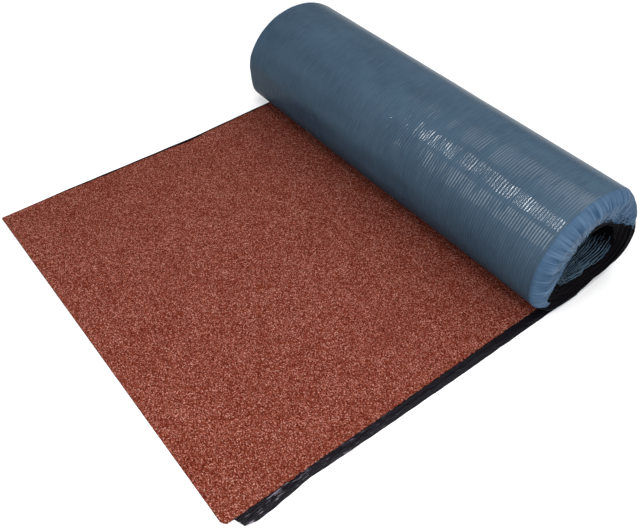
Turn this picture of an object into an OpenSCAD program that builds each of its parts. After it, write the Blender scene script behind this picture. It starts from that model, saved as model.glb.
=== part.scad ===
// A roll of mineral-surfaced roofing felt, partly unrolled.
// One sheet of felt lies flat at the front and winds up into a roll behind it, which its own
// weight has flattened underneath.
// X runs across the sheet, along the roll's axis. The free end of the sheet is at -Y, and +Z is up.
// The origin is on the floor, under the middle of the felt's box.

/* [Felt] */
// Width of the sheet, across the roll
felt_width = 1000; // [500:10:1200]
// Thickness of the felt with its mineral granules
felt_thickness = 4; // [2.5:0.1:6]
// Width of the bare lap edge that carries no granules
lap_width = 30; // [15:5:120]
// Depth of the granule layer, which the lap edge lacks
granule_depth = 1; // [0.5:0.1:1.5]
// Length that lies flat, from the free end to the middle of the roll's underside
flat_length = 862; // [400:1:3000]

/* [Roll] */
// Number of turns wound on the roll
turns = 13.4; // [4:0.1:24]
// Air between one turn and the next, at the sides of the roll and below the core
turn_gap = 0.45; // [0.3:0.05:3]
// Air between one turn and the next above the core, where the turns sag apart
top_gap = 2.4; // [0.3:0.1:4]
// How far the roll's middle lies back from the middle of its underside
roll_lean = 5; // [0:1:40]
// How square the roll's lower half is: 2 is an oval, and more is flatter underneath
sag = 2.9; // [2:0.1:4]

/* [Core] */
// Clear width of the open core
core_width = 179; // [60:1:240]
// Clear height of the open core, which the roll's own weight has flattened
core_height = 101; // [50:1:200]

/* [Ends] */
// Depth to which the turns stand apart on the end that has granules right to its edge
turn_groove_depth = 6; // [2:1:20]

/* [Hidden] */
// Flat steps that each turn is drawn with
turn_steps = 40;
felt_color = [0.16, 0.25, 0.33];

lap_thickness = felt_thickness - granule_depth;
pitch = felt_thickness + turn_gap;
top_pitch = felt_thickness + top_gap;

// Where the outer face of a turn lies. turn counts from 0 at the middle of the underside,
// back, over the top and down the front, to the sheet's inner end at the core.
function half_width(turn) = core_width / 2 + felt_thickness + (turns - turn) * pitch;
function bottom(turn) = turn * pitch;
function top(turn) = bottom(turns) + core_height + 2 * felt_thickness + (turns - turn) * top_pitch;

// How far back a point leans for each step that it lies higher.
lean_slope = 2 * roll_lean / top(0);

// A sine or cosine pushed out towards 1, which squares the curve that it draws.
function pushed(share, power) = sign(share) * pow(abs(share), 2 / power);

// A point on the winding, from the middle of the underside. depth is how far under the
// turn's outer face it lies.
function wound(turn, depth = 0) =
    let (
        angle = 360 * turn - 90,
        power = sin(angle) < 0 ? sag : 2,
        across = half_width(turn) - depth,
        up = (top(turn) - bottom(turn)) / 2 - depth,
        centre = (top(turn) + bottom(turn)) / 2,
        height = centre + up * pushed(sin(angle), power)
    )
    [across * pushed(cos(angle), power) + lean_slope * height, height];

// Points along the winding from one turn count to another, in even steps.
function winding(from, to, depth = 0) =
    let (count = ceil(abs(to - from) * turn_steps))
    [for (i = [0 : count]) wound(from + (to - from) * i / count, depth)];

// The flat sheet and the roll together are centred on the origin.
roll_back = max([for (point = winding(0, 1)) point[0]]);
touch_y = (flat_length - roll_back) / 2;

// The felt seen from its edge: flat sheet and winding as one strip of one thickness.
module strip(thickness) {
    polygon(concat(
        [[-flat_length, 0]],
        winding(0, turns),
        winding(turns, 0, thickness),
        [[-flat_length, thickness]]
    ));
}

// The same outline with the turns closed up against each other, round the open core.
module wound_up(thickness) {
    outside = concat(
        [[-flat_length, 0]],
        winding(0, 1),
        [[0, thickness], [-flat_length, thickness]]
    );
    core = concat(
        winding(turns - 1, turns, thickness),
        [wound(turns)]
    );
    polygon(
        concat(outside, core),
        [
            [for (i = [0 : len(outside) - 1]) i],
            [for (i = [0 : len(core) - 1]) len(outside) + i]
        ]
    );
}

// Stands an edge-on shape across the sheet, from one place on its width to another.
module across(from, to) {
    translate([from - felt_width / 2, touch_y, 0])
        rotate([90, 0, 90])
            linear_extrude(height = to - from)
                children();
}

// The whole sheet: closed up between its ends, with its turns apart at both of them.
module felt() {
    lap_start = felt_width - lap_width;
    color(felt_color)
        union() {
            across(0, turn_groove_depth)
                strip(felt_thickness);
            across(turn_groove_depth, lap_start)
                wound_up(felt_thickness);
            across(lap_start, felt_width)
                strip(lap_thickness);
        }
}

felt();
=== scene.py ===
import math

import bmesh
import bpy
from mathutils import Matrix, Vector, noise


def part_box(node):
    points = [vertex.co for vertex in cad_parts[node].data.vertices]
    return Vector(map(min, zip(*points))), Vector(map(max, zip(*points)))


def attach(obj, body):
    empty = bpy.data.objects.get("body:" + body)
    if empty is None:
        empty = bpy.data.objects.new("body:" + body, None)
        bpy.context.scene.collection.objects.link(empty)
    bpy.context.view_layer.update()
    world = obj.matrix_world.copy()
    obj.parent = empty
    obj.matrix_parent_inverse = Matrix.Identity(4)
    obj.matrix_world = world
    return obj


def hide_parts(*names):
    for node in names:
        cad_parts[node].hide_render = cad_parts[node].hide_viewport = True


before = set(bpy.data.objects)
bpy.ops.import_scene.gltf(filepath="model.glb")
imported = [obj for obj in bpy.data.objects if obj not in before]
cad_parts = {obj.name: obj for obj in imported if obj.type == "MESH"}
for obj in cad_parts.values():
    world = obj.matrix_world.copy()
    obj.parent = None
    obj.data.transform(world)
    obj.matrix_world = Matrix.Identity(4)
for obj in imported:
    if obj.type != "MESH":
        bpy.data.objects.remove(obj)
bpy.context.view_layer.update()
feltLow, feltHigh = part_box("felt")
print("frame loaded", [round(side, 4) for side in feltHigh - feltLow])

# the felt and how it is wound, in metres, as the frame's solid has it
felt = {
    "thickness": 0.004,
    "lapWidth": 0.03,
    "flatLength": 0.862,  # from the free end to the middle of the roll's underside
    "turns": 13.4,
    "turnGap": 0.00045,
    "topGap": 0.0024,
    "coreWidth": 0.179,
    "coreHeight": 0.101,
    "lean": 0.005,
    "sag": 2.9,  # how square the roll's lower half is
    "girth": 0.92,  # length of the outermost turn
}
leftX, rightX = feltLow.x, feltHigh.x
lapX = rightX - felt["lapWidth"]
middleY = feltLow.y + felt["flatLength"]


def halfWidth(turn):
    inside = felt["turns"] - turn
    return felt["coreWidth"] / 2 + felt["thickness"] + inside * (felt["thickness"] + felt["turnGap"])


def bottomOf(turn):
    return turn * (felt["thickness"] + felt["turnGap"])


def topOf(turn):
    inside = felt["turns"] - turn
    core = bottomOf(felt["turns"]) + felt["coreHeight"] + 2 * felt["thickness"]
    return core + inside * (felt["thickness"] + felt["topGap"])


leanSlope = 2 * felt["lean"] / topOf(0)


def onWinding(x, turn, depth=0.0):
    # turn counts from the middle of the underside, back, over the top and down the front
    angle = math.tau * turn - math.pi / 2
    back, high = math.cos(angle), math.sin(angle)
    power = felt["sag"] if high < 0 else 2.0
    reach = (abs(back) ** power + abs(high) ** power) ** (-1 / power)
    across = halfWidth(turn) - depth
    up = (topOf(turn) - bottomOf(turn)) / 2 - depth
    height = (topOf(turn) + bottomOf(turn)) / 2 + up * reach * high
    return Vector((x, middleY + across * reach * back + leanSlope * height, max(height, 0.0003)))


def smooth(low, high, value):
    t = min(max((value - low) / (high - low), 0.0), 1.0)
    return t * t * (3 - 2 * t)


def between(table, place):
    # a value read from a table of (place, value) pairs, easing from one pair to the next
    for (left, a), (right, b) in zip(table, table[1:]):
        if place <= right:
            return a + (b - a) * smooth(left, right, place)
    return table[-1][1]


def ripple(a, b, c=0.0):
    return noise.noise(Vector((a, b, c)))


class Wire:
    # a socket that takes part in sums, so that shader maths reads as Python
    def __init__(self, tree, socket=None):
        self.tree, self.socket = tree, socket

    def node(self, kind, settings=None, inputs=None, output=0):
        made = self.tree.nodes.new(kind)
        for key, value in (settings or {}).items():
            if key == "stops":
                while len(made.color_ramp.elements) < len(value):
                    made.color_ramp.elements.new(1.0)
                for element, (position, color) in zip(made.color_ramp.elements, value):
                    element.position, element.color = position, (*color, 1.0)
            else:
                setattr(made, key, value)
        for key, value in (inputs or {}).items():
            if isinstance(value, Wire):
                self.tree.links.new(value.socket, made.inputs[key])
            else:
                made.inputs[key].default_value = value
        return Wire(self.tree, made.outputs[output])

    def also(self, output):
        return Wire(self.tree, self.socket.node.outputs[output])

    def maths(self, operation, *values):
        return self.node("ShaderNodeMath", {"operation": operation}, dict(enumerate(values)))

    def __add__(self, other):
        return self.maths("ADD", self, other)

    def __sub__(self, other):
        return self.maths("SUBTRACT", self, other)

    def __rsub__(self, other):
        return self.maths("SUBTRACT", other, self)

    def __mul__(self, other):
        return self.maths("MULTIPLY", self, other)

    __radd__, __rmul__ = __add__, __mul__


def newFinish(name):
    made = bpy.data.materials.new(name)
    made.use_nodes = True
    tree = made.node_tree
    shader = next(n for n in tree.nodes if n.type == "BSDF_PRINCIPLED")
    return made, Wire(tree), shader


def feed(wire, shader, **sockets):
    for key, value in sockets.items():
        target = shader.inputs[key.replace("_", " ")]
        if isinstance(value, Wire):
            wire.tree.links.new(value.socket, target)
        else:
            target.default_value = value


def span(wire, low, high):
    # 0 at low, 1 at high, clamped
    settings = {"clamp": True}
    return wire.node("ShaderNodeMapRange", settings, {"Value": wire, "From Min": low, "From Max": high})


def noiseOver(wire, place, scale, detail, output=0):
    # scale is one number, or three for a noise that is drawn out along an axis
    if isinstance(scale, tuple):
        place = wire.node("ShaderNodeMapping", {}, {"Vector": place, "Scale": scale})
        scale = 1.0
    return wire.node("ShaderNodeTexNoise", {}, {"Vector": place, "Scale": scale, "Detail": detail}, output)


def mixed(wire, factor, start, end):
    start, end = (color if isinstance(color, Wire) else (*color, 1.0) for color in (start, end))
    return wire.node("ShaderNodeMix", {"data_type": "RGBA"}, {"Factor": factor, "A": start, "B": end}, 2)


def bumped(wire, height, distance, strength):
    return wire.node("ShaderNodeBump", {}, {"Height": height, "Distance": distance, "Strength": strength})


granules = {
    "size": 0.0018,
    "bend": 0.0009,  # how far the chips' outlines are pushed about
    "relief": 0.0009,
    # gapShade is painted shade: a dark colour laid into the gaps between the chips
    "gapShade": (0.046, 0.006, 0.003),
    "colors": [
        (0.0, (0.084, 0.006, 0.002)),
        (0.25, (0.150, 0.020, 0.007)),
        (0.50, (0.232, 0.047, 0.025)),
        (0.75, (0.338, 0.108, 0.076)),
        (1.0, (0.560, 0.275, 0.220)),
    ],
}


def granuleFinish():
    made, wire, shader = newFinish("mineral_granules")
    place = wire.node("ShaderNodeTexCoord", output="Object")
    scale = 1 / granules["size"]
    warp = noiseOver(wire, place, 900.0, 1.0, output="Color")
    bent = wire.node(
        "ShaderNodeVectorMath",
        {"operation": "MULTIPLY_ADD"},
        {0: warp, 1: (granules["bend"],) * 3, 2: place},
    )
    chip = wire.node("ShaderNodeTexVoronoi", {"feature": "F1"}, {"Vector": bent, "Scale": scale}, "Color")
    rim = wire.node("ShaderNodeTexVoronoi", {"feature": "DISTANCE_TO_EDGE"}, {"Vector": bent, "Scale": scale})
    tone = wire.node("ShaderNodeSeparateColor", {}, {"Color": chip})
    patch = noiseOver(wire, place, 14.0, 3.0)
    clump = noiseOver(wire, place, 300.0, 1.0)
    level = tone * 1.05 + clump * 0.45 + patch * 0.20 - 0.405
    color = wire.node("ShaderNodeValToRGB", {"stops": granules["colors"]}, {"Fac": level})
    # painted shade in the gaps between the chips
    color = mixed(wire, span(rim, 0.0, 0.16), granules["gapShade"], color)
    tilt = tone.also("Green") * 0.5 + span(rim, 0.0, 0.3) + clump * 1.2
    bump = bumped(wire, tilt, granules["relief"], 0.85)
    feed(wire, shader, Base_Color=color, Normal=bump, Roughness=0.85, Specular_IOR_Level=0.08)
    return made


film = {
    "gloss": 0.03,
    "color": (0.050, 0.084, 0.121),
    "dark": (0.032, 0.056, 0.084),
    # the end film's tone on its fold crests; endShade is painted shade in its fold hollows and near its inner
    # edge
    "endColor": (0.068, 0.118, 0.186),
    "endShade": (0.023, 0.054, 0.104),
    # a lighter copy of the blue film: painted light for the shaded mouth of the core
    "liningLit": (0.074, 0.122, 0.168),
    "liningDark": (0.020, 0.036, 0.056),
    # painted shade for the roll's low side
    "shaded": (0.010, 0.013, 0.020),
}


def filmFinish(name, color, dark, roughness, sheen=None, foldShaded=False):
    made, wire, shader = newFinish(name)
    place = wire.node("ShaderNodeTexCoord", output="Object")
    streak = noiseOver(wire, place, (420.0, 30.0, 30.0), 3.0)
    patch = noiseOver(wire, place, (8.0, 16.0, 16.0), 4.0)
    crinkle = noiseOver(wire, place, 160.0, 3.0)
    # on the end film the tone follows its folds: painted light on the crests, painted shade in the hollows
    if foldShaded:
        fold = wire.node("ShaderNodeAttribute", {"attribute_name": "fold"}, output="Fac")
        tone = mixed(wire, span(fold, -0.55, 0.55), dark, color)
    else:
        tone = mixed(wire, span(streak * 0.5 + patch * 0.5, 0.34, 0.66), dark, color)
    if sheen:
        # glossy over the roll's front and top, in patches towards its far end, and darkened low down by
        # painted shade
        along = wire.node("ShaderNodeSeparateXYZ", {}, {"Vector": place})
        up, over = along.also("Z"), along.also("Y")
        glint = noiseOver(wire, place, (75.0, 14.0, 14.0), 2.0)
        glossy = span(glint + along * 0.42, 0.47, 0.61) * span(along, -0.34, -0.10)
        glossy = glossy * span(up, 0.155, 0.205) * span(over, 0.40, 0.32)
        tone = mixed(wire, span(up, 0.19, 0.03) * 0.50, tone, film["shaded"])
        feed(wire, shader, Coat_Weight=glossy, Coat_Roughness=sheen, Coat_IOR=1.33)
    feed(
        wire,
        shader,
        Base_Color=tone,
        Normal=bumped(wire, streak * 0.8 + crinkle * 0.25, 0.0006, 0.5),
        Roughness=span(patch, 0.2, 0.8) * 0.12 + roughness,
        Specular_IOR_Level=film["gloss"],
    )
    return made


bitumen = {
    "color": (0.0055, 0.0048, 0.0068),
    # a pale colour painted on as glints
    "paintedGlint": (0.190, 0.165, 0.205),
    "edgeColor": (0.0026, 0.0020, 0.0028),
}


def bitumenFinish(name, color, roughness, gloss, paintedGlint):
    made, wire, shader = newFinish(name)
    place = wire.node("ShaderNodeTexCoord", output="Object")
    folds = noiseOver(wire, place, (260.0, 150.0, 260.0), 4.0)
    grain = noiseOver(wire, place, 700.0, 2.0)
    glintStreak = noiseOver(wire, place, (330.0, 48.0, 330.0), 2.0)
    along = wire.node("ShaderNodeSeparateXYZ", {}, {"Vector": place}, output="Y")
    # painted glints: pale streaks standing in for highlights on the strip's folds, only towards the sheet's
    # free end
    glintMask = span(glintStreak, 0.60, 0.78) * span(along, -0.10, -0.36) * paintedGlint
    feed(
        wire,
        shader,
        Base_Color=mixed(wire, glintMask, color, bitumen["paintedGlint"]),
        Normal=bumped(wire, folds + grain * 0.1, 0.0022, 0.8),
        Roughness=grain * 0.08 + roughness,
        Specular_IOR_Level=gloss,
    )
    return made


granuleSkin = granuleFinish()
blueFilm = filmFinish("blue_film", film["color"], film["dark"], 0.25, sheen=0.06)
endBlue = filmFinish("end_film", film["endColor"], film["endShade"], 0.34, foldShaded=True)
liningBlue = filmFinish("core_lining", film["liningLit"], film["liningDark"], 0.25)
# the lap strip gets the painted glints, the cut edges none
black = bitumenFinish("bitumen", bitumen["color"], 0.10, 0.06, 1.0)
cutEdge = bitumenFinish("cut_edge", bitumen["edgeColor"], 0.5, 0.015, 0.0)
print("finishes made")


def gridPiece(
    name,
    columns,
    rows,
    place,
    finishes,
    wall=None,
    base=None,
    rolled=False,
    swapped=False,
    holes=None,
    paintedShading=None,
):
    # a grid whose every corner is put in place by a rule, with a wall or a flat base under it if asked for;
    # rolled turns its faces over, and swapped runs the rule's first number along the grid's rows
    bm = bmesh.new()
    bmesh.ops.create_grid(bm, x_segments=columns, y_segments=rows, size=0.5)
    if holes:
        middles = [(face, face.calc_center_median()) for face in bm.faces]
        gone = [face for face, middle in middles if holes(middle.x + 0.5, middle.y + 0.5)]
        bmesh.ops.delete(bm, geom=gone, context="FACES")
    # a per-corner fold value that carries painted light and shade, if asked for
    shadingLayer = bm.verts.layers.float.new("fold") if paintedShading else None
    for vert in bm.verts:
        u, v = vert.co.x + 0.5, vert.co.y + 0.5
        vert.co = place(v, u) if swapped else place(u, v)
        if paintedShading:
            vert[shadingLayer] = paintedShading(u, v)
    if rolled:
        bmesh.ops.reverse_faces(bm, faces=bm.faces)
    if base is not None:
        rim = [edge for edge in bm.edges if edge.is_boundary]
        skirt = bmesh.ops.extrude_edge_only(bm, edges=rim)["geom"]
        for vert in skirt:
            if isinstance(vert, bmesh.types.BMVert):
                vert.co.z = base
        under = [edge for edge in skirt if isinstance(edge, bmesh.types.BMEdge)]
        bmesh.ops.contextual_create(bm, geom=under)
        bmesh.ops.recalc_face_normals(bm, faces=bm.faces)
    for face in bm.faces:
        face.smooth = base is None
    mesh = bpy.data.meshes.new(name)
    bm.to_mesh(mesh)
    bm.free()
    piece = bpy.data.objects.new(name, mesh)
    bpy.context.scene.collection.objects.link(piece)
    for finish in finishes:
        mesh.materials.append(finish)
    if wall:
        shell = piece.modifiers.new("wall", "SOLIDIFY")
        shell.thickness, shell.offset = wall, -1.0
        shell.material_offset, shell.material_offset_rim = 1, 2
    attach(piece, "root")
    return piece


def dent(x, turn):
    # soft hollows and swells that every turn of the roll shares
    angle = math.tau * turn
    around = (math.cos(angle), math.sin(angle))
    swell = ripple(x * 2.0, around[0] * 1.3, around[1] * 1.3)
    long = ripple(x * 3.2 + 9.0, around[0] * 4.5, around[1] * 4.5)
    crease = ripple(x * 9.0 + 4.0, around[0] * 7.0, around[1] * 7.0)
    lift = smooth(0.0, 0.09, onWinding(x, turn).z)
    return (swell * 0.0022 + long * 0.0016 + crease * 0.0006 + 0.0006) * lift


shoulder = {
    "out": 0.0015,  # the end film stays this far inside the felt's edge
    # how round the roll's end is, by the share of a turn
    "round": [
        (0.18, 0.010),
        (0.28, 0.022),
        (0.36, 0.030),
        (0.43, 0.018),
        (0.52, 0.019),
        (0.85, 0.020),
        (1.0, 0.012),
    ],
    # how far the wound edges have slid in low at the back, by the share of a turn
    "slidIn": [
        (0.0, 0.003),
        (0.03, 0.0065),
        (0.06, 0.0105),
        (0.085, 0.009),
        (0.11, 0.0055),
        (0.135, 0.0015),
        (0.16, 0.0),
        (0.94, 0.0),
        (1.0, 0.003),
    ],
    "slidLess": 0.0028,  # how much less each further turn has slid in
}


def slidEdge(turn):
    return max(between(shoulder["slidIn"], turn % 1.0) - shoulder["slidLess"] * turn, 0.0)


def underFilm(turn):
    # 1 where the end film is folded over the turns, 0 round the roll's back and underside
    share = turn % 1.0
    return smooth(0.20, 0.30, share) * (1 - smooth(0.86, 0.92, share))


skin = {
    "ridge": 0.0066,
    "columns": 1180,
    "rows": 72,
    # how high the film's ridges are, by the place along the roll
    "height": [
        (-0.5, 0.00022),
        (-0.05, 0.00038),
        (0.06, 0.00045),
        (0.27, 0.00043),
        (0.40, 0.00036),
        (0.49, 0.00026),
    ],
}


def skinEdge(turn):
    # at the back the film runs to the edge of the felt; over the front the end film covers it
    covered = underFilm(turn) * (between(shoulder["round"], turn) + 0.0005)
    return rightX - shoulder["out"] - 0.002 - covered - slidEdge(turn)


def skinPlace(u, v):
    turn = v
    x = leftX + u * (skinEdge(turn) - leftX)
    arc = turn * felt["girth"]
    phase = x / skin["ridge"] + 0.9 * ripple(x * 16, arc * 5) + 0.25 * ripple(x * 60, arc * 22)
    patch = 1.0 + 0.40 * ripple(x * 7 + 3, arc * 5) + 0.45 * ripple(x * 40, arc * 9 + 4)
    facing = 0.14 + 0.86 * smooth(0.51, 0.60, turn)
    ridge = between(skin["height"], x) * min(max(patch, 0.5), 1.5) * facing
    fade = smooth(0.0, 0.012, onWinding(x, turn).z) * (0.1 + 0.9 * smooth(0.0, 0.012, skinEdge(turn) - x))
    wrinkle = 0.0016 * abs(ripple(x * 26 + turn * 30, turn * 34)) * smooth(0.36, 0.44, x)
    wrinkle *= smooth(0.36, 0.42, turn) * (1 - smooth(0.50, 0.55, turn)) * fade
    return onWinding(x, turn, dent(x, turn) - ridge * fade * math.sin(math.tau * phase) - wrinkle)


rollSkin = gridPiece("roll_skin", skin["columns"], skin["rows"], skinPlace, [blueFilm], rolled=True)
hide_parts("felt")
print("roll skin made", len(rollSkin.data.polygons))

turnsWound = {
    "columns": 24,
    "rowsPerTurn": 54,
    "underSkin": 0.0007,
    "wall": 0.0036,
    "recess": 0.0011,  # how much further in each turn's edge stands
    # painted shade: the innermost turn is painted black this deep into the core's mouth
    "coreShadeDepth": 0.12,  # how deep the innermost turn is black
}


def turnEdge(turn):
    # each turn stops short of the round end film, and the inner turns have slid in a little
    depth = min(int(turn) * (felt["thickness"] + felt["turnGap"]), 0.03)
    radius = between(shoulder["round"], turn % 1.0)
    missing = max(radius - depth, 0.0)
    rounded = (radius - math.sqrt(radius ** 2 - missing ** 2) + missing) / 2
    slid = turnsWound["recess"] * max(turn - 2.0, 0.0) + slidEdge(turn)
    loose = 0.003 * ripple(turn * 3.0, 5.0) - 0.0015 * ripple(turn * 19.0, 2.0)
    edge = rightX - shoulder["out"] - 0.003 - rounded * underFilm(turn)
    return edge - slid + loose * smooth(1.0, 2.0, turn)


def woundPlace(u, v):
    turn = v * felt["turns"]
    along = 0.5 - 0.5 * math.cos(math.pi * u)
    left = leftX + 0.0012 * abs(ripple(turn * 4.0, 8.0))
    x = left + along * (turnEdge(turn) - left)
    flutter = smooth(lapX - 0.02, rightX, x) * 0.0009 * ripple(x * 40, turn * 9)
    under = turnsWound["underSkin"] * (1 - smooth(0.97, 1.03, turn))
    return onWinding(x, turn, dent(x, turn) + under + flutter)


wound = gridPiece(
    "wound_turns",
    turnsWound["columns"],
    int(turnsWound["rowsPerTurn"] * felt["turns"]),
    woundPlace,
    [blueFilm, granuleSkin, cutEdge, cutEdge, cutEdge, cutEdge],
    turnsWound["wall"],
    rolled=True,
)
# the bare lap edge is black on both faces, and the mouth of the core is painted black as shade
lastTurn = turnsWound["columns"] * int(turnsWound["rowsPerTurn"] * (felt["turns"] - 1.1))
for face in wound.data.polygons:
    if face.center.x > (lapX if face.index < lastTurn else lapX - turnsWound["coreShadeDepth"]):
        face.material_index = 3
print("wound turns made", len(wound.data.polygons))

layer = {
    "columns": 300,
    "rows": 290,
    "relief": 0.00042,
    "shuffle": 0.0007,
    "stop": 0.09,
    "sunk": 0.0006,  # how far its base lies inside the flat sheet
    # how much of the sheet's far edge is bare of granules, by the distance from the free end
    "bare": [
        (0.0, 0.0004),
        (0.10, 0.0030),
        (0.20, 0.0056),
        (0.28, 0.0076),
        (0.33, 0.0054),
        (0.43, 0.0078),
        (0.50, 0.0104),
        (0.57, 0.0064),
        (0.80, 0.0064),
    ],
}
flat = {
    "columns": 90,
    "rows": 80,
    "waviness": 0.0010,
    "body": 0.0028,
    "corner": 0.012,
    "clear": 0.0002,  # how far its underside stays off the floor
    # how far in the sheet's far edge bends, by the distance from the free end
    "bend": [
        (0.0, 0.0),
        (0.16, 0.0005),
        (0.24, 0.0033),
        (0.33, 0.0062),
        (0.43, 0.0090),
        (0.52, 0.0120),
        (0.62, 0.0092),
        (0.71, 0.0066),
        (0.86, 0.0060),
    ],
}


def sheetWave(x, y):
    near = 1 - smooth(middleY - 0.24, middleY - 0.10, y)
    return flat["waviness"] * abs(ripple(x * 3, y * 3)) * near


def rightEdge(y):
    # the edge of the granules: ragged, and round at the sheet's near corner
    ragged = 0.0016 * ripple(y * 80, 3.0) + 0.0024 * ripple(y * 330, 7.0) + 0.0022 * ripple(y * 613, 2.0)
    into = max(flat["corner"] - (y - feltLow.y), 0.0)
    return lapX + ragged - (flat["corner"] - math.sqrt(flat["corner"] ** 2 - into ** 2))


def leftEdge(y):
    along = y - feltLow.y
    uneven = 0.0007 * abs(ripple(y * 14, 2.0)) * smooth(0.0, 0.2, along)
    return leftX + between(flat["bend"], along) + uneven


def flatPlace(u, v):
    y = feltLow.y + v * (middleY - feltLow.y)
    x = leftEdge(y) + u * (rightEdge(y) - 0.0006 - leftEdge(y))
    return Vector((x, y, flat["body"] + sheetWave(x, y)))


flatSheet = gridPiece(
    "flat_sheet",
    flat["columns"],
    flat["rows"],
    flatPlace,
    [cutEdge, blueFilm, cutEdge],
    flat["body"] - flat["clear"],
)
print("flat sheet made", len(flatSheet.data.polygons))


def layerPlace(u, v):
    y = feltLow.y + v * (middleY - layer["stop"] - feltLow.y)
    bare = between(layer["bare"], y - feltLow.y)
    left = leftEdge(y) + bare * (1 + 0.4 * ripple(y * 28, 4.0) + 0.25 * ripple(y * 330, 5.0))
    x = left + u * (rightEdge(y) - left)
    inside = 1.0 if 0 < u < 1 and 0 < v < 1 else 0.0
    bed = felt["thickness"] - layer["relief"] + sheetWave(x, y)
    clump = ripple(x * 130, y * 130, 5.0)
    chip = ripple(x * 613, y * 587, 1.0)
    x += inside * layer["shuffle"] * ripple(x * 900, y * 760, 2.0)
    y += inside * layer["shuffle"] * ripple(x * 820, y * 910, 9.0)
    return Vector((x, y, bed + layer["relief"] * (0.7 * clump + 1.1 * chip)))


granuleLayer = gridPiece(
    "granule_layer",
    layer["columns"],
    layer["rows"],
    layerPlace,
    [granuleSkin],
    base=flat["body"] - layer["sunk"],
)
print("granule layer made", len(granuleLayer.data.polygons))

lap = {
    "columns": 26,
    "rows": 420,
    "underlap": 0.005,
    "freeEnd": 0.0195,
    "slant": 0.0085,
    "wall": 0.0007,
    # how far inside the felt's side the strip's edge runs, by the distance from the free end
    "edge": [
        (0.026, 0.0085),
        (0.050, 0.0042),
        (0.084, 0.0052),
        (0.112, 0.0080),
        (0.168, 0.0132),
        (0.221, 0.0115),
        (0.276, 0.0103),
        (0.372, 0.0088),
        (0.56, 0.0072),
    ],
}


def lapEdge(y):
    return rightX - between(lap["edge"], y - feltLow.y) + 0.0006 * ripple(y * 37, 6.0)


def lapPlace(u, v):
    start = feltLow.y + lap["freeEnd"] + lap["slant"] * u
    y = start + v * (middleY - start)
    free = 1 - smooth(0.02, 0.20, y - feltLow.y)
    inner = lapX - lap["underlap"]
    x = inner + u * (lapEdge(y) - inner)
    crest = math.sin(math.pi * smooth(0.35, 1.0, u)) * (0.0014 + 0.0010 * free)
    rising = smooth(0.22, 0.5, u)
    folds = (0.0008 + 0.0020 * free) * ripple(x * 210 + y * 30, y * 13)
    small = (0.0005 + 0.0006 * free) * ripple(x * 520, y * 40 + 3.0)
    folds += small + 0.0011 * ripple(x * 150 - y * 45, y * 75, 6.0)
    curl = 0.0035 * (1 - smooth(0.0, 0.035, y - start)) * smooth(0.2, 1.0, u)
    return Vector((x, y, max(0.0013 + crest + folds * rising + curl, lap["wall"] + 0.0003)))


lapStrip = gridPiece("lap_strip", lap["columns"], lap["rows"], lapPlace, [black, black, black], lap["wall"])
print("lap strip made", len(lapStrip.data.polygons))

endFilm = {
    "columns": 600,
    "rows": 56,
    "start": 0.225,
    "stop": 0.885,
    "overlap": 0.006,
    # how far in from the roll's side the film reaches, by the share of a turn
    "reach": [
        (0.225, 0.015),
        (0.28, 0.050),
        (0.36, 0.070),
        (0.43, 0.064),
        (0.51, 0.050),
        (0.54, 0.054),
        (0.58, 0.063),
        (0.67, 0.074),
        (0.72, 0.071),
        (0.79, 0.064),
        (0.83, 0.046),
        (0.86, 0.014),
        (0.885, 0.002),
    ],
    "chord": 0.637,  # how far a straight chamfer gets for each step along the round one
    "bent": 1.57,  # how far along the film goes, in radii, before it droops inwards
    "droop": 0.04,
    "wall": 0.0003,
}


def endPoint(turn, along, radius, outX, lift):
    # along counts from the roll's side, over its round shoulder and in towards the core
    quarter = radius * math.pi / 2
    if along < quarter:
        bend = along / radius
        arc = outX - radius + (radius + lift) * math.sin(bend), radius - (radius + lift) * math.cos(bend)
        step = along * endFilm["chord"]
        chamfer = outX - radius + step + lift * 0.7, step - lift * 0.7
        return tuple((a + b) / 2 for a, b in zip(arc, chamfer))
    return outX + lift, radius + along - quarter


def filmGather(arc, along):
    # small folds that run in from the roll's side
    gather = 1.2 * ripple(arc * 150, along * 18, 2.0) + 0.8 * ripple(arc * 340, along * 40, 7.0)
    return gather + 0.6 * ripple(arc * 60, along * 60, 3.0)


def endTurn(u):
    return endFilm["start"] + u * (endFilm["stop"] - endFilm["start"])


# painted light and shade for the end film: lighter on its fold crests, darker in the hollows and towards its
# inner edge
def foldShading(u, v):
    arc = endTurn(u) * felt["girth"]
    return filmGather(arc, v * 0.06) * (0.35 + 0.65 * smooth(0.1, 0.5, v)) - 0.25 * smooth(0.85, 1.0, v)


def endFilmPlace(u, v):
    turn = endTurn(u)
    arc = turn * felt["girth"]
    radius = between(shoulder["round"], turn)
    reach = between(endFilm["reach"], turn) + 0.003 * ripple(arc * 40, 1.0)
    reach += 0.0035 * ripple(arc * 150, 4.0) + 0.002 * ripple(arc * 420, 9.0)
    length = max(reach - radius, 0.002) + radius * math.pi / 2
    along = v * (length + endFilm["overlap"]) - endFilm["overlap"]
    outX = rightX - shoulder["out"]
    if along < 0:
        return onWinding(outX - radius + along, turn, dent(rightX, turn) - 0.0003)
    growth = smooth(0.0, 0.010, along)
    gather = filmGather(arc, along)
    sink = 0.0035 * smooth(0.6, 1.0, v) + endFilm["droop"] * max(along - radius * endFilm["bent"], 0.0)
    x, depth = endPoint(turn, along, radius, outX, 0.0012 * gather * growth - sink)
    return onWinding(min(x, rightX), turn, depth + dent(rightX, turn) - 0.0003)


def torn(u, v):
    # specks torn out of the film near its inner edge, most of them over the back
    turn = endTurn(u)
    arc = turn * felt["girth"]
    over = 1 - smooth(0.48, 0.58, turn)
    limit = 0.62 - 0.40 * smooth(0.66, 1.0, v) * (0.35 + 0.65 * over) - 0.10 * smooth(0.55, 0.8, v) * over
    specks = ripple(arc * 260, v * 24, 6.0) + 0.5 * ripple(arc * 90, v * 9, 8.0)
    return v > 0.5 and specks > limit


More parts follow.
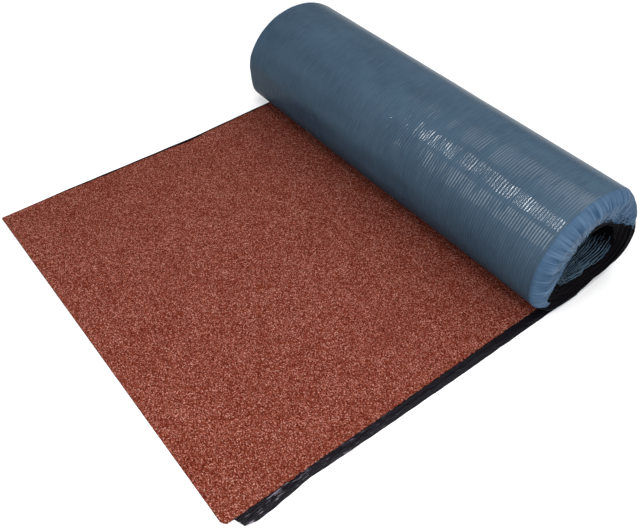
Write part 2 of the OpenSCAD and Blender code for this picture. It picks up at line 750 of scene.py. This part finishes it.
lip = gridPiece(
    "end_film",
    endFilm["columns"],
    endFilm["rows"],
    endFilmPlace,
    [endBlue, black, black],
    endFilm["wall"],
    holes=torn,
    paintedShading=foldShading,
)
print("end film made", len(lip.data.polygons))

lining = {
    "columns": 110,
    "rows": 230,
    "start": 0.845,
    "stop": 1.22,
    "deep": 0.095,
    "out": 0.009,
    "fold": 0.0024,
    "pitch": 0.0050,
    "ramp": 0.42,
    "bare": -0.22,  # folds lower than this show black: partly the black felt between them, partly painted shade
}


def liningFold(u, v):
    # folds that fan out from the front of the core and run round its underside
    fan = 0.45 + 0.75 * u
    inward = v * lining["deep"]
    wander = 0.8 * ripple(u * 3.0, v * 5.0, 4.0) + 0.3 * ripple(u * 9.0, v * 14.0, 2.0)
    wave = math.sin(math.tau * (inward / (lining["pitch"] * fan) + wander))
    fine = ripple(u * 3.5, inward * 420, 7.0)
    return 0.62 * wave + 0.80 * fine


def liningPlace(u, v):
    share = lining["start"] + u * (lining["stop"] - lining["start"])
    turn = felt["turns"] - 1.4 + share
    inward = v * lining["deep"]
    swell = 0.6 + 0.8 * abs(ripple(u * 5.0, v * 4.0, 1.0))
    ends = smooth(0.0, 0.16, u) * (1 - smooth(0.75, 1.0, u))
    rise = lining["fold"] * (1.0 + liningFold(u, v)) * swell * ends * smooth(0.0, 0.03, v)
    ramp = lining["ramp"] * inward * (1 - 0.45 * v) * ends
    x = rightX - lining["out"] - inward + 0.003 * ripple(u * 12.0, 3.0) * (1 - v)
    return onWinding(x, turn, felt["thickness"] + 0.0012 + rise + ramp + dent(x, turn))


coreLining = gridPiece(
    "core_lining",
    lining["columns"],
    lining["rows"],
    liningPlace,
    [liningBlue, cutEdge, cutEdge, cutEdge, cutEdge, cutEdge],
    endFilm["wall"],
    rolled=True,
    swapped=True,
)
# painted shade: the lining's fold hollows, its deeper part and its end towards the back of the core take the
# black felt finish
for face in coreLining.data.polygons:
    row, column = divmod(face.index, lining["columns"])
    u, v = (row + 0.5) / lining["rows"], (column + 0.5) / lining["columns"]
    shade = liningFold(u, v) - 1.2 * smooth(0.74, 0.97, u) - 0.6 * smooth(0.55, 0.95, v)
    if shade < lining["bare"]:
        face.material_index = 3
print("core lining made", len(coreLining.data.polygons))

stage = {
    "floor": (0.93, 0.93, 0.93),
    "size": 12.0,
    "under": 0.0006,  # how far the floor lies below the felt
    "air": (0.95, 0.97, 1.0),
    "airLight": 0.30,
    "skyLight": 2.25,
    "skySpread": math.radians(62),
    "skyTurn": (math.radians(-31), math.radians(6), 0),
}


def makeStage():
    bm = bmesh.new()
    bmesh.ops.create_grid(bm, x_segments=1, y_segments=1, size=stage["size"])
    bmesh.ops.translate(bm, verts=bm.verts, vec=(0, 0, -stage["under"]))
    mesh = bpy.data.meshes.new("floor")
    bm.to_mesh(mesh)
    bm.free()
    floor = bpy.data.objects.new("floor", mesh)
    bpy.context.scene.collection.objects.link(floor)
    paint, wire, shader = newFinish("pale_floor")
    feed(wire, shader, Base_Color=(*stage["floor"], 1.0), Roughness=0.9)
    mesh.materials.append(paint)
    world = bpy.data.worlds.new("studio")
    bpy.context.scene.world = world
    world.use_nodes = True
    world.node_tree.nodes["Background"].inputs["Color"].default_value = (*stage["air"], 1.0)
    world.node_tree.nodes["Background"].inputs["Strength"].default_value = stage["airLight"]


def softbox(name, place, target, size, power):
    # size is measured along X first, then across it
    lamp = bpy.data.lights.new(name, "AREA")
    lamp.shape, lamp.size, lamp.size_y = "RECTANGLE", *size
    lamp.energy = power
    made = bpy.data.objects.new(name, lamp)
    behind = (Vector(place) - Vector(target)).normalized()
    along = (Vector((1, 0, 0)) - behind * behind.x).normalized()
    turned = Matrix((along, behind.cross(along), behind)).transposed().to_4x4()
    made.matrix_world = Matrix.Translation(place) @ turned
    bpy.context.scene.collection.objects.link(made)


def makeSky():
    lamp = bpy.data.lights.new("sky", "SUN")
    lamp.energy, lamp.angle = stage["skyLight"], stage["skySpread"]
    made = bpy.data.objects.new("sky", lamp)
    made.rotation_euler = stage["skyTurn"]
    bpy.context.scene.collection.objects.link(made)


# place, target, size and power of each lamp
lamps = {
    "key": ((0.10, -0.40, 2.03), (0.44, 0.27, 0.22), (0.16, 0.66), 18),
    "near": ((0.50, -1.00, 1.10), (0.30, -0.45, 0.0), (0.8, 0.8), 14),
    "side": ((1.45, 0.10, 0.85), (0.50, 0.36, 0.12), (0.5, 0.5), 7),
}
makeStage()
makeSky()
for name, settings in lamps.items():
    softbox(name, *settings)

view = {"place": (1.048, -0.7213, 1.2275), "azimuth": 53.63, "elevation": 45.78, "roll": -1.59, "lens": 43.76}


def makeCamera():
    lens = bpy.data.cameras.new("camera")
    lens.lens, lens.sensor_width = view["lens"], 36.0
    made = bpy.data.objects.new("camera", lens)
    turn = Matrix.Rotation(math.radians(view["azimuth"]), 4, "Z")
    tilt = Matrix.Rotation(math.radians(90 - view["elevation"]), 4, "X")
    roll = Matrix.Rotation(math.radians(view["roll"]), 4, "Z")
    made.matrix_world = Matrix.Translation(view["place"]) @ turn @ tilt @ roll
    bpy.context.scene.collection.objects.link(made)
    bpy.context.scene.camera = made


makeCamera()
bpy.context.scene.view_settings.view_transform = "Standard"
print("stage, lights and camera made")
